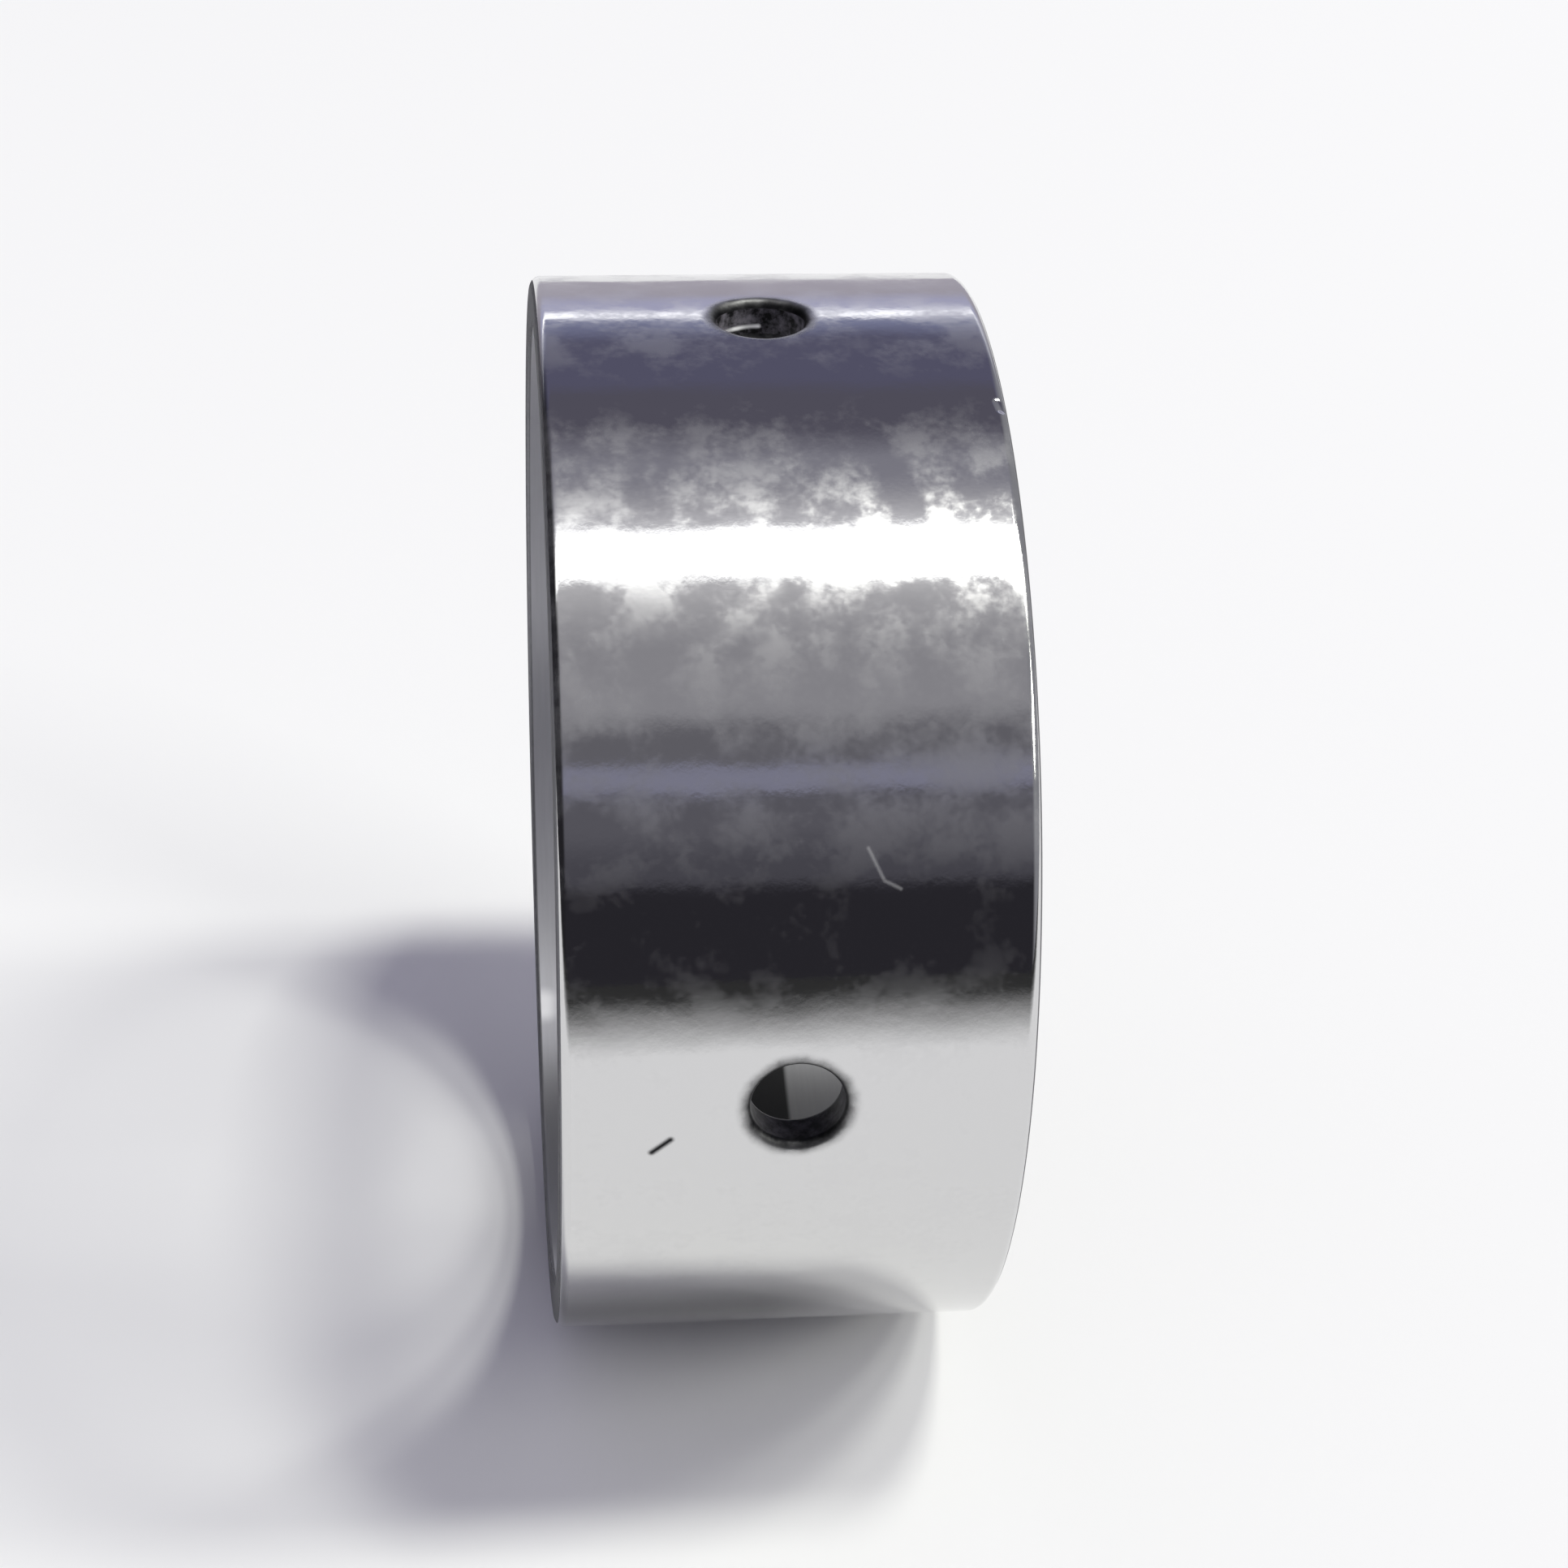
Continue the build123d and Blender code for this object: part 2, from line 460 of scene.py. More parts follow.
def polished_steel(s):
    """Ground and lapped bearing steel: a bright mirror under a thin uneven film of oil, with slightly ragged
    edges to its reflections.

    Where the film is thick the mirror is veiled and rougher, so that it spreads what is bright nearby, which
    shows in the dark reflections and beside the lamp. The lapping leaves shallow waves one and four
    millimetres long. Round the mouths of the holes the steel is painted dark and made duller, a painted
    shade of the hole lips, and a small nick is dark."""
    material, tree = new_material("Ground and lapped bearing steel")
    mm = in_millimetres(tree)
    film = film_of_oil(tree, mm)
    metal = add_node(tree, "ShaderNodeMapRange",
                     {"Value": film, "To Min": 1.0, "To Max": 1.0 - FILM_VEIL}).outputs[0]
    metal = add_node(tree, "ShaderNodeMath", {0: near_bend(tree, mm, *SCRATCH), 1: -SCRATCH_DULLS, 2: metal},
                     operation="MULTIPLY_ADD").outputs[0]
    short = add_node(tree, "ShaderNodeTexNoise",
                     {"Vector": mm, "Scale": 0.9, "Detail": 4.0, "Roughness": 0.6}).outputs["Fac"]
    long = add_node(tree, "ShaderNodeTexNoise",
                    {"Vector": mm, "Scale": 0.25, "Detail": 1.0, "Roughness": 0.5}).outputs["Fac"]
    # The nick is a dark mark on the steel; round the hole mouths the dark colour is painted shade of the
    # lips.
    dark = add_node(tree, "ShaderNodeMath",
                    {0: near_line(tree, mm, *NICK), 1: painted_shade_round_holes(tree, mm, short)},
                    operation="MAXIMUM").outputs[0]
    colour = add_node(tree, "ShaderNodeMix", {0: dark, 6: (*s.steel, 1.0), 7: linear("1C1C1F")},
                      data_type="RGBA").outputs[2]
    gloss = add_node(tree, "ShaderNodeMapRange",
                     {"Value": film, "To Min": s.roughness,
                      "To Max": s.roughness + FILM_ROUGHNESS}).outputs[0]
    gloss = add_node(tree, "ShaderNodeMath", {0: dark, 1: DARK_LIP_ROUGHNESS, 2: gloss},
                     operation="MULTIPLY_ADD").outputs[0]
    relief = add_node(tree, "ShaderNodeBump", {"Height": short, "Distance": SHORT_WAVES * MM}).outputs[0]
    relief = add_node(tree, "ShaderNodeBump",
                      {"Height": long, "Distance": LONG_WAVES * MM, "Normal": relief}).outputs[0]
    relief = add_node(tree, "ShaderNodeBump",
                      {"Height": near_line(tree, mm, *DENT), "Distance": DENT_DEPTH * MM, "Normal": relief},
                      invert=True).outputs[0]
    shader = add_node(tree, "ShaderNodeBsdfPrincipled",
                      {"Base Color": colour, "Metallic": metal, "Roughness": gloss, "Normal": relief})
    add_node(tree, "ShaderNodeOutputMaterial", {"Surface": shader.outputs[0]})
    return material


# Painted shade in the bore, along the axis and towards its lowest line: the axis, where the shade begins and
# where it is full, in millimetres, and the share of light that it leaves.
BORE_PAINTED_SHADE = (
    ("Z", 4.5, 8.0, 0.55),
    ("X", -20.8, -22.6, 0.45),
)
# The sides of a dark patch of painted shade in the bore round the lowest hole: the axis, where the shade is
# gone and where it is full, in millimetres.
BORE_SHADE_PATCH_SIDES = (
    ("Z", 13.35, 13.05),
    ("Z", 6.3, 7.3),
    ("Y", -9.5, -7.5),
    ("Y", 1.5, -0.5),
    ("X", -10.0, -15.0),
)
# A painted highlight in the bore near its lower end, a white spot where a lamp's reflection stands: start
# and end in millimetres, and its reach.
PAINTED_BORE_HIGHLIGHT = ((-19.85, -11.62, 0.40), (-20.15, -11.10, 0.40), 1.0)
# The metal's share of the bore's surface outside the painted highlight.
BORE_METAL = 0.75


def honed_bore():
    """Honed steel bore: satin, with fine lines round the bore a fifth of a millimetre apart.

    Painted shade darkens it a few millimetres past its lower end and along its lowest line, and a dark patch
    of painted shade lies round the lowest hole, with a clear edge on one side and soft edges on the others.
    A white spot near its lower end is a painted highlight."""
    material, tree = new_material("Honed steel bore")
    lines = in_millimetres(tree, (0.3, 0.3, 5.0))
    grain = add_node(tree, "ShaderNodeTexNoise",
                     {"Vector": lines, "Scale": 1.0, "Detail": 3.0, "Roughness": 0.6}).outputs["Fac"]
    colour = add_node(tree, "ShaderNodeMix", {0: grain, 6: linear("BCBCC0"), 7: linear("CACACE")},
                      data_type="RGBA").outputs[2]
    mm = in_millimetres(tree)
    place = add_node(tree, "ShaderNodeSeparateXYZ", {"Vector": mm}).outputs
    # Painted shade: darker deeper in the bore and along its lowest line.
    for axis, begins, full, left in BORE_PAINTED_SHADE:
        film = add_node(tree, "ShaderNodeMapRange",
                        {"Value": place[axis], "From Min": begins, "From Max": full,
                         "To Min": 1.0, "To Max": left},
                        interpolation_type="SMOOTHSTEP").outputs[0]
        colour = add_node(tree, "ShaderNodeVectorMath", {0: colour, "Scale": film},
                          operation="SCALE").outputs[0]
    # Painted shade: a dark patch round the lowest hole.
    bore_patch_shade = 1.0
    for axis, gone, full in BORE_SHADE_PATCH_SIDES:
        side = add_node(tree, "ShaderNodeMapRange",
                        {"Value": place[axis], "From Min": gone, "From Max": full},
                        interpolation_type="SMOOTHSTEP").outputs[0]
        bore_patch_shade = add_node(tree, "ShaderNodeMath", {0: side, 1: bore_patch_shade}, operation="MULTIPLY").outputs[0]
    colour = add_node(tree, "ShaderNodeMix", {0: bore_patch_shade, 6: colour, 7: linear("1A1A1C")},
                      data_type="RGBA").outputs[2]
    # Painted highlight: a white spot that is no metal, in place of a lamp's reflection.
    bore_highlight = near_line(tree, mm, *PAINTED_BORE_HIGHLIGHT)
    colour = add_node(tree, "ShaderNodeMix", {0: bore_highlight, 6: colour, 7: linear("FFFFFF")},
                      data_type="RGBA").outputs[2]
    metal = add_node(tree, "ShaderNodeMapRange",
                     {"Value": bore_highlight, "To Min": BORE_METAL, "To Max": 0.0}).outputs[0]
    relief = add_node(tree, "ShaderNodeBump", {"Height": grain, "Distance": 0.002 * MM}).outputs[0]
    shader = add_node(tree, "ShaderNodeBsdfPrincipled",
                      {"Base Color": colour, "Metallic": metal, "Roughness": 0.38, "Normal": relief})
    add_node(tree, "ShaderNodeOutputMaterial", {"Surface": shader.outputs[0]})
    return material


# A painted highlight, a pale crescent low on the wall of the upper hole: its three points in millimetres,
# and its reach.
PAINTED_CRESCENT_HIGHLIGHT = ((23.69, -0.95, 8.25), (23.64, -1.80, 9.10), (23.66, -1.99, 10.10), 0.16)
# The noise where the pale dust on a hole's wall begins and where it is full.
DUST_BEGINS, DUST_FULL = 0.4, 0.65
# The share of pale dust kept on the wall of the hole at the front, less there as painted shade, and how far
# to the front, in millimetres, a place is to be in that hole or in one of the others.
FRONT_HOLE_SHADE_DUST = 0.3
IN_FRONT_HOLE, IN_OTHER_HOLES = 20.0, 10.0


def drilled_wall():
    """Wall of a drilled hole: dark and dull, partly with baked oil and partly as painted shade of the hole,
    under half-millimetre patches of pale dust.

    The hole at the front has less dust, so that painted shade darkens its wall, and the one on top has a
    painted highlight, a pale crescent low on its wall."""
    material, tree = new_material("Drilled wall, oil and painted shade")
    mm = in_millimetres(tree)
    patches = add_node(tree, "ShaderNodeTexNoise",
                       {"Vector": mm, "Scale": 1.6, "Detail": 4.0, "Roughness": 0.65}).outputs["Fac"]
    dust = add_node(tree, "ShaderNodeMapRange",
                    {"Value": patches, "From Min": DUST_BEGINS, "From Max": DUST_FULL}).outputs[0]
    front = add_node(tree, "ShaderNodeSeparateXYZ", {"Vector": mm}).outputs["Y"]
    # Painted shade: the front hole keeps less pale dust, so its wall is darker.
    kept = add_node(tree, "ShaderNodeMapRange",
                    {"Value": front, "From Min": IN_FRONT_HOLE, "From Max": IN_OTHER_HOLES,
                     "To Min": FRONT_HOLE_SHADE_DUST}).outputs[0]
    dust = add_node(tree, "ShaderNodeMath", {0: dust, 1: kept}, operation="MULTIPLY").outputs[0]
    # The near-black wall colour is partly painted shade of the hole's recess.
    colour = add_node(tree, "ShaderNodeMix", {0: dust, 6: linear("0E0E10"), 7: linear("6A676E")},
                      data_type="RGBA").outputs[2]
    # Painted highlight: a pale crescent on the upper hole's wall.
    colour = add_node(tree, "ShaderNodeMix",
                      {0: near_bend(tree, mm, *PAINTED_CRESCENT_HIGHLIGHT), 6: colour, 7: linear("FFFFFF")},
                      data_type="RGBA").outputs[2]
    relief = add_node(tree, "ShaderNodeBump", {"Height": patches, "Distance": 0.01 * MM}).outputs[0]
    shader = add_node(tree, "ShaderNodeBsdfPrincipled",
                      {"Base Color": colour, "Roughness": 0.5, "Specular IOR Level": 0.1, "Normal": relief})
    add_node(tree, "ShaderNodeOutputMaterial", {"Surface": shader.outputs[0]})
    return material


def ground_face():
    """Ground end face: grey and satin, with fine grinding lines a quarter of a millimetre apart."""
    material, tree = new_material("Ground steel end face")
    lines = in_millimetres(tree, (4.0, 0.25, 0.25))
    grain = add_node(tree, "ShaderNodeTexNoise",
                     {"Vector": lines, "Scale": 1.0, "Detail": 3.0, "Roughness": 0.6}).outputs["Fac"]
    colour = add_node(tree, "ShaderNodeMix", {0: grain, 6: linear("868689"), 7: linear("98989B")},
                      data_type="RGBA").outputs[2]
    relief = add_node(tree, "ShaderNodeBump", {"Height": grain, "Distance": 0.003 * MM}).outputs[0]
    shader = add_node(tree, "ShaderNodeBsdfPrincipled",
                      {"Base Color": colour, "Metallic": 0.8, "Roughness": 0.5,
                       "Specular Tint": linear("404040"), "Specular IOR Level": 0.2, "Normal": relief})
    add_node(tree, "ShaderNodeOutputMaterial", {"Surface": shader.outputs[0]})
    return material


# How far to the front the floor stays lit in reflections and where it is darkest, in metres, and the number
# whose power FLOOR_FALL is what is left there.
FLOOR_DIMS_FROM, FLOOR_DARKEST_FROM = 0.090, 0.200
FLOOR_DARKEST = 0.58
FLOOR_FALL = 6.0
# Where the ring's shadow looks deeper in reflections: start and end in millimetres, reach, and what is left.
DEEP_SHADOW = ((-25.0, 16.0, -2.0), (-25.0, 16.0, 9.5), 8.0)
DEEP_SHADOW_LEAVES = 0.5
# A painted contact shadow on the floor where the ring stands: start and end in millimetres, reach, and what
# is left.
PAINTED_CONTACT_SHADOW = ((-25.0, 0.0, 9.0), (-25.0, 0.0, 16.0), 15.0)
PAINTED_CONTACT_SHADOW_LEAVES = 0.32
# How far along the axis the painted contact shadow is full and from where it is gone, in millimetres.
PAINTED_CONTACT_SHADOW_FULL_TO, PAINTED_CONTACT_SHADOW_GONE_FROM = 14.0, 21.0


def reflected_share(tree, mm):
    """What the floor keeps of its brightness in reflections.

    To the front it falls with a power of a straight fall, and it is lower in the depth of the shadow."""
    place = add_node(tree, "ShaderNodeTexCoord").outputs["Object"]
    front = add_node(tree, "ShaderNodeSeparateXYZ", {"Vector": place}).outputs["Y"]
    fall = add_node(tree, "ShaderNodeMapRange",
                    {"Value": front, "From Min": FLOOR_DIMS_FROM, "From Max": FLOOR_DARKEST_FROM,
                     "To Min": 1.0, "To Max": FLOOR_DARKEST}).outputs[0]
    share = add_node(tree, "ShaderNodeMath", {0: fall, 1: FLOOR_FALL}, operation="POWER").outputs[0]
    deep = add_node(tree, "ShaderNodeMapRange",
                    {"Value": near_line(tree, mm, *DEEP_SHADOW),
                     "To Min": 1.0, "To Max": DEEP_SHADOW_LEAVES}).outputs[0]
    return add_node(tree, "ShaderNodeMath", {0: share, 1: deep}, operation="MULTIPLY").outputs[0]


def contact_shadow_share(tree, mm):
    """What the painted contact shadow leaves of the floor's brightness.

    The painted shadow lies under the ring and is gone just past its upper end."""
    along = add_node(tree, "ShaderNodeSeparateXYZ", {"Vector": mm}).outputs["Z"]
    under = add_node(tree, "ShaderNodeMapRange",
                     {"Value": along, "From Min": PAINTED_CONTACT_SHADOW_GONE_FROM, "From Max": PAINTED_CONTACT_SHADOW_FULL_TO},
                     interpolation_type="SMOOTHSTEP").outputs[0]
    contact_shaded = add_node(tree, "ShaderNodeMath", {0: near_line(tree, mm, *PAINTED_CONTACT_SHADOW), 1: under},
                      operation="MULTIPLY").outputs[0]
    return add_node(tree, "ShaderNodeMapRange",
                    {"Value": contact_shaded, "To Min": 1.0, "To Max": PAINTED_CONTACT_SHADOW_LEAVES}).outputs[0]


def matte_floor(s):
    """Matte white card, which takes the ring's shadow and a soft painted contact shadow, and is left out
    from behind.

    In reflections it darkens towards the front, where the lamps no longer reach it."""
    material, tree = new_material("Matte white card")
    path = add_node(tree, "ShaderNodeLightPath").outputs
    behind = add_node(tree, "ShaderNodeNewGeometry").outputs["Backfacing"]
    hide = add_node(tree, "ShaderNodeMath",
                    {0: behind, 1: path["Is Camera Ray"]}, operation="MULTIPLY").outputs[0]
    mm = in_millimetres(tree)
    shade = add_node(tree, "ShaderNodeMix",
                     {0: path["Is Glossy Ray"], 2: 1.0, 3: reflected_share(tree, mm)},
                     data_type="FLOAT").outputs[0]
    # Painted contact shadow under the ring, for all rays.
    shade = add_node(tree, "ShaderNodeMath", {0: shade, 1: contact_shadow_share(tree, mm)},
                     operation="MULTIPLY").outputs[0]
    colour = add_node(tree, "ShaderNodeVectorMath", {0: tuple(s.floor), "Scale": shade},
                      operation="SCALE").outputs[0]
    card = add_node(tree, "ShaderNodeBsdfDiffuse", {"Color": colour}).outputs[0]
    clear = add_node(tree, "ShaderNodeBsdfTransparent").outputs[0]
    mix = add_node(tree, "ShaderNodeMixShader", {0: hide, 1: card, 2: clear}).outputs[0]
    add_node(tree, "ShaderNodeOutputMaterial", {"Surface": mix})
    return material


def seen_only_floor(s):
    """The same white card, seen only by the camera and only from above."""
    material, tree = new_material("Matte white card, seen from above")
    path = add_node(tree, "ShaderNodeLightPath")
    behind = add_node(tree, "ShaderNodeNewGeometry").outputs["Backfacing"]
    front = add_node(tree, "ShaderNodeMath", {0: 1.0, 1: behind}, operation="SUBTRACT").outputs[0]
    show = add_node(tree, "ShaderNodeMath",
                    {0: front, 1: path.outputs["Is Camera Ray"]}, operation="MULTIPLY").outputs[0]
    card = add_node(tree, "ShaderNodeBsdfDiffuse", {"Color": (*s.floor, 1.0)}).outputs[0]
    clear = add_node(tree, "ShaderNodeBsdfTransparent").outputs[0]
    mix = add_node(tree, "ShaderNodeMixShader", {0: show, 1: clear, 2: card}).outputs[0]
    add_node(tree, "ShaderNodeOutputMaterial", {"Surface": mix})
    return material


# ---------------------------------------------------------------- studio

# What stands round the ring, by angle about its axis in degrees: 0 is the front, 90 overhead, 180 the back.
# Each card has its name, first and last angle, colour and brightness, and runs into the next one.
CARDS = (
    ("black curtain", -8.0, 12.3, "242328", 1.0),
    ("dim front", 14.8, 18.0, "434249", 1.0),
    ("dim front, upper part", 25.0, 31.5, "535259", 1.0),
    ("blue strip", 33.2, 36.7, "757586", 1.0),
    ("dark shelf", 38.5, 44.5, "5C5B61", 1.0),
    ("grey ceiling, front part", 49.0, 63.0, "828186", 1.0),
    ("grey ceiling by the lamp", 69.0, 69.0, "929195", 1.0),
    ("lamp edge, front", 76.8, 76.8, "AAA9AC", 1.0),
    ("strip lamp", 80.2, 85.6, "FFFFFF", 2.3),
    ("lamp edge, back", 89.8, 89.8, "B0AFB4", 1.0),
    ("glow behind the lamp", 95.0, 95.0, "96959B", 1.0),
    ("grey ceiling, back part", 101.0, 106.0, "777680", 1.0),
    ("dark ceiling", 115.0, 126.0, "4E4C58", 1.0),
    ("indigo curtain", 130.0, 146.0, "504F63", 1.0),
    ("lavender wall, low part", 153.0, 155.5, "6E718C", 1.0),
    ("gap of daylight", 157.1, 158.7, "FAFAFF", 1.2),
    ("lavender wall", 160.2, 165.5, "9898B0", 1.0),
    ("far wall", 171.0, 171.0, "94909A", 1.0),
)
FIRST_ANGLE, LAST_ANGLE = -20.0, 190.0
# What the ring's lower and upper ends face. The part of a direction that is along the axis tells where the
# cards begin to fade to it and where they are gone.
LOWER_END = "28272B"
UPPER_END = "929298"
CARDS_FADE_FROM, CARDS_GONE_FROM = 0.25, 0.7


def reflected_cards(tree, s):
    """The colour of the cards for a direction, found from its angle about the ring's axis.

    With X up, Y to the front and Z along the axis, the angle less 90 degrees is atan2(-Y, X), whose seam
    lies straight down, under the floor. Along the axis the angle means nothing, so the cards fade to one
    colour at each end."""
    way = add_node(tree, "ShaderNodeTexCoord").outputs["Generated"]
    parts = add_node(tree, "ShaderNodeSeparateXYZ", {"Vector": way}).outputs
    front = add_node(tree, "ShaderNodeMath", {0: parts["Y"], 1: -1.0}, operation="MULTIPLY").outputs[0]
    turn = add_node(tree, "ShaderNodeMath", {0: front, 1: parts["X"]}, operation="ARCTAN2").outputs[0]
    limits = {"From Min": math.radians(FIRST_ANGLE - 90), "From Max": math.radians(LAST_ANGLE - 90)}
    share = add_node(tree, "ShaderNodeMapRange", {"Value": turn, **limits}).outputs[0]
    ramp = add_node(tree, "ShaderNodeValToRGB", {"Fac": share})
    stops = ramp.color_ramp.elements
    stops.remove(stops[1])
    ends = [(angle, code, bright) for _, *pair, code, bright in CARDS for angle in sorted(set(pair))]
    for i, (angle, code, bright) in enumerate(ends):
        at = (angle - FIRST_ANGLE) / (LAST_ANGLE - FIRST_ANGLE)
        stop = stops.new(at) if i else stops[0]
        stop.position = at
        red, green, blue, _ = linear(code)
        stop.color = (red * bright, green * bright, blue * bright, 1.0)
    lit = add_node(tree, "ShaderNodeVectorMath", {0: ramp.outputs["Color"], "Scale": s.card_strength},
                   operation="SCALE").outputs[0]
    pole = add_node(tree, "ShaderNodeMath", {0: parts["Z"]}, operation="ABSOLUTE").outputs[0]
    fade = add_node(tree, "ShaderNodeMapRange",
                    {"Value": pole, "From Min": CARDS_FADE_FROM, "From Max": CARDS_GONE_FROM},
                    interpolation_type="SMOOTHSTEP").outputs[0]
    upper = add_node(tree, "ShaderNodeMath", {0: parts["Z"], 1: 0.0}, operation="GREATER_THAN").outputs[0]
    end = add_node(tree, "ShaderNodeMix", {0: upper, 6: linear(LOWER_END), 7: linear(UPPER_END)},
                   data_type="RGBA").outputs[2]
    return add_node(tree, "ShaderNodeMix", {0: fade, 6: lit, 7: end}, data_type="RGBA").outputs[2]


def surroundings(s):
    """World: plain white to the camera, cards to the metal, and an even fill to everything else."""
    world = bpy.data.worlds.new("Studio surroundings")
    bpy.context.scene.world = world
    world.use_nodes = True
    tree = world.node_tree
    tree.nodes.clear()
    path = add_node(tree, "ShaderNodeLightPath").outputs
    shiny = add_node(tree, "ShaderNodeMath", {0: path["Is Glossy Ray"], 1: path["Is Transmission Ray"]},
                     operation="MAXIMUM").outputs[0]
    bright = add_node(tree, "ShaderNodeMix",
                      {0: shiny, 6: (*s.fill, 1.0), 7: reflected_cards(tree, s)},
                      data_type="RGBA").outputs[2]
    seen = add_node(tree, "ShaderNodeMix",
                    {0: path["Is Camera Ray"], 6: bright, 7: (1.0, 1.0, 1.0, 1.0)},
                    data_type="RGBA").outputs[2]
    background = add_node(tree, "ShaderNodeBackground", {"Color": seen, "Strength": 1.0})
    add_node(tree, "ShaderNodeOutputWorld", {"Surface": background.outputs[0]})


# Each floor's corner and its two sides, in metres: one that the ring lies on, and one under its lower end.
LYING_FLOOR = ((-RADIUS, -0.6, -0.5), (0, 0.88, 0), (0, 0, 1.0))
STANDING_FLOOR = ((-RADIUS, -0.6, 0), (0.7, 0, 0), (0, 1.2, 0))
# How many points a floor has along each side.
FLOOR_POINTS = 9


def flat_card(name, corner, along, across, material):
    """A flat stage card: corner + u along + v across, over a small grid of u and v from 0 to 1.

    Its face points along the cross product of along and across."""
    share = np.linspace(0, 1, FLOOR_POINTS)
    u, v = np.meshgrid(share, share, indexing="ij")
    points = np.array(corner) + u[..., None] * np.array(along) + v[..., None] * np.array(across)
    mesh = bpy.data.meshes.new(name)
    faces = grid_faces(FLOOR_POINTS, FLOOR_POINTS, 0)
    mesh.from_pydata(points.reshape(-1, 3).tolist(), [], faces.tolist())
    mesh.materials.append(material)
    card = bpy.data.objects.new(name, mesh)
    bpy.context.scene.collection.objects.link(card)


# The lamps past the ring's upper end: elevation above the floor, azimuth from the axis to the front, height
# and width as seen from the ring, all in degrees, and their share of the lamps' light.
LAMPS = (
    ("high lamp", 74.0, 16.0, 8.0, 10.0, 0.46),
    ("middle lamp", 56.0, 3.0, 10.0, 9.0, 0.27),
    ("low lamp", 42.0, 2.0, 7.0, 9.0, 0.13),
    ("window", 28.0, 24.0, 9.0, 22.0, 0.14),
)
LAMP_DISTANCE = 5.0  # metres


def lamp_row(s):
    """The lamps of LAMPS, each a rectangle that faces the ring's middle from LAMP_DISTANCE.

    A lamp of power P lights the floor with P sin(elevation) / (pi distance)^2, set against white."""
    middle = Vector((0, 0, WIDTH / 2))
    for name, elevation, azimuth, height, width, share in LAMPS:
        rise, turn = math.radians(elevation), math.radians(azimuth)
        flat = Vector((0, math.sin(turn), math.cos(turn)))
        back = math.sin(rise) * Vector((1, 0, 0)) + math.cos(rise) * flat
        up = math.cos(rise) * Vector((1, 0, 0)) - math.sin(rise) * flat
        data = bpy.data.lights.new(name, "AREA")
        data.shape = "RECTANGLE"
        data.size = 2 * LAMP_DISTANCE * math.tan(math.radians(width / 2))
        data.size_y = 2 * LAMP_DISTANCE * math.tan(math.radians(height / 2))
        data.color = s.lamp_colour
        data.energy = s.lamp_light * share * (math.pi * LAMP_DISTANCE) ** 2 / math.sin(rise)
        lamp = bpy.data.objects.new(name, data)
        bpy.context.scene.collection.objects.link(lamp)
        place = Matrix((up.cross(back), up, back)).transposed().to_4x4()
        lamp.matrix_world = Matrix.Translation(middle + LAMP_DISTANCE * back) @ place


# The camera looks at the ring lying on its side, so the image's right is +Z and its up is mostly +X.
IMAGE_SIDE = 1932
SENSOR_WIDTH = 36.0  # millimetres
FOCAL_PIXELS = 3893.26
CENTRE_PIXEL = (920.6, 981.2)
CAMERA_DISTANCE = 6.1297 * RADIUS
CAMERA_HEIGHT_ANGLE = math.radians(31.482)
CAMERA_SIDE_ANGLE = math.radians(4.978)
CAMERA_ROLL = math.radians(-1.400)


def camera():
    """A camera aimed at the ring's middle, from above its front and a little to its lower end.

    The view is turned so that the ring's middle falls on CENTRE_PIXEL instead of the image's centre."""
    sh, ch = math.sin(CAMERA_HEIGHT_ANGLE), math.cos(CAMERA_HEIGHT_ANGLE)
    ss, cs = math.sin(CAMERA_SIDE_ANGLE), math.cos(CAMERA_SIDE_ANGLE)
    back = Vector((cs * sh, cs * ch, -ss))
    up = Vector((ch, -sh, 0))
    right = Vector((ss * sh, ss * ch, cs))
    rolled_right = math.cos(CAMERA_ROLL) * right + math.sin(CAMERA_ROLL) * up
    rolled_up = -math.sin(CAMERA_ROLL) * right + math.cos(CAMERA_ROLL) * up
    middle = IMAGE_SIDE / 2
    aside = math.atan((CENTRE_PIXEL[0] - middle) / FOCAL_PIXELS)
    lift = math.atan((CENTRE_PIXEL[1] - middle) / FOCAL_PIXELS)
    place = Matrix((rolled_right, rolled_up, back)).transposed().to_4x4()
    place = place @ Matrix.Rotation(aside, 4, "Y") @ Matrix.Rotation(lift, 4, "X")
    place.translation = Vector((0, 0, WIDTH / 2)) + back * CAMERA_DISTANCE
    data = bpy.data.cameras.new("Camera")
    data.sensor_width = SENSOR_WIDTH
    data.lens = FOCAL_PIXELS / IMAGE_SIDE * data.sensor_width
    made = bpy.data.objects.new("Camera", data)
    bpy.context.scene.collection.objects.link(made)
    made.matrix_world = place
    bpy.context.scene.camera = made


# ---------------------------------------------------------------- operators

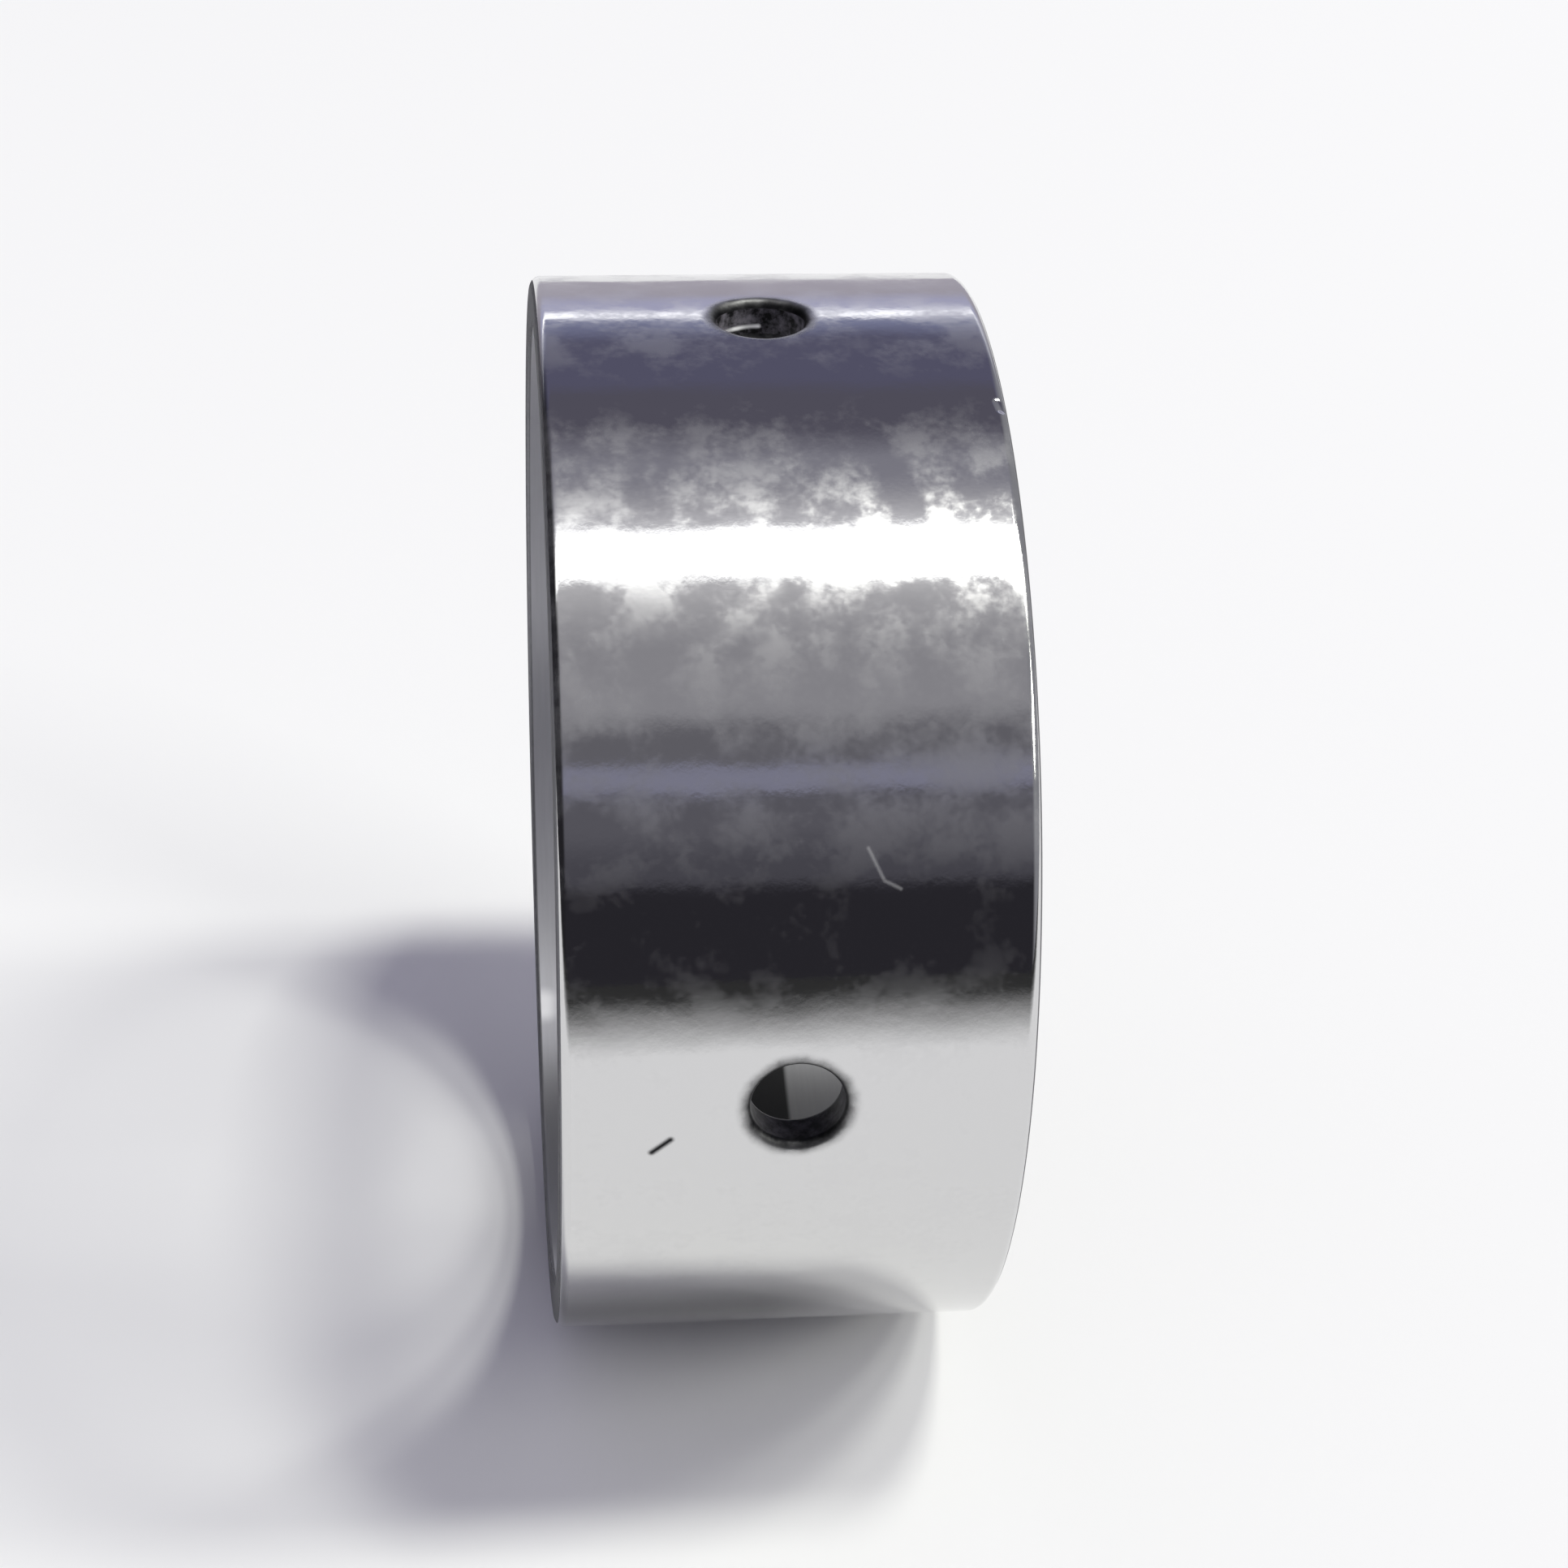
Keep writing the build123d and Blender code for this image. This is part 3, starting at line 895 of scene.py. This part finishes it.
class BUSHING_OT_ring(bpy.types.Operator):
    """Make the polished ring that stands for the CAD bushing"""

    bl_idname = "bushing.ring"
    bl_label = "Polished ring"

    def execute(self, context):
        s = context.scene.bushing_ring
        points, normals, faces, finishes = welded(ring_blocks(s))
        mesh = bpy.data.meshes.new("polished_ring")
        mesh.from_pydata(points.tolist(), [], faces.tolist())
        mesh.shade_smooth()
        mesh.normals_split_custom_set_from_vertices(normals.tolist())
        if mesh.validate():
            raise RuntimeError("the ring's mesh has faults")
        for material in (polished_steel(s), honed_bore(), drilled_wall(), ground_face()):
            mesh.materials.append(material)
        mesh.polygons.foreach_set("material_index", finishes.astype(np.int32))
        ring = bpy.data.objects.new("polished_ring", mesh)
        context.scene.collection.objects.link(ring)
        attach(ring, BODY)
        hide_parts(NODE)
        return {"FINISHED"}


class BUSHING_OT_studio(bpy.types.Operator):
    """Make the floors, the lamps, the surroundings and the camera"""

    bl_idname = "bushing.studio"
    bl_label = "Studio"

    def execute(self, context):
        s = context.scene.bushing_studio
        context.scene.view_settings.view_transform = "Standard"
        flat_card("lying_floor", *LYING_FLOOR, matte_floor(s))
        flat_card("standing_floor", *STANDING_FLOOR, seen_only_floor(s))
        lamp_row(s)
        surroundings(s)
        camera()
        return {"FINISHED"}


class BUSHING_PT_panel(bpy.types.Panel):
    """Lists the ring's and the studio's settings"""

    bl_label = "Bushing"
    bl_space_type = "VIEW_3D"
    bl_region_type = "UI"
    bl_category = "Bushing"

    def draw(self, context):
        ring, studio = context.scene.bushing_ring, context.scene.bushing_studio
        for settings in (ring, studio):
            for name in settings.__annotations__:
                self.layout.prop(settings, name)
        self.layout.operator(BUSHING_OT_ring.bl_idname)
        self.layout.operator(BUSHING_OT_studio.bl_idname)


CLASSES = (BushingRingSettings, BushingStudioSettings, BUSHING_OT_ring, BUSHING_OT_studio, BUSHING_PT_panel)


def register():
    for made in CLASSES:
        bpy.utils.register_class(made)
    bpy.types.Scene.bushing_ring = bpy.props.PointerProperty(type=BushingRingSettings)
    bpy.types.Scene.bushing_studio = bpy.props.PointerProperty(type=BushingStudioSettings)


def unregister():
    del bpy.types.Scene.bushing_studio
    del bpy.types.Scene.bushing_ring
    for made in reversed(CLASSES):
        bpy.utils.unregister_class(made)


def main():
    register()
    bpy.ops.bushing.ring()
    bpy.ops.bushing.studio()


if __name__ == "__main__":
    main()
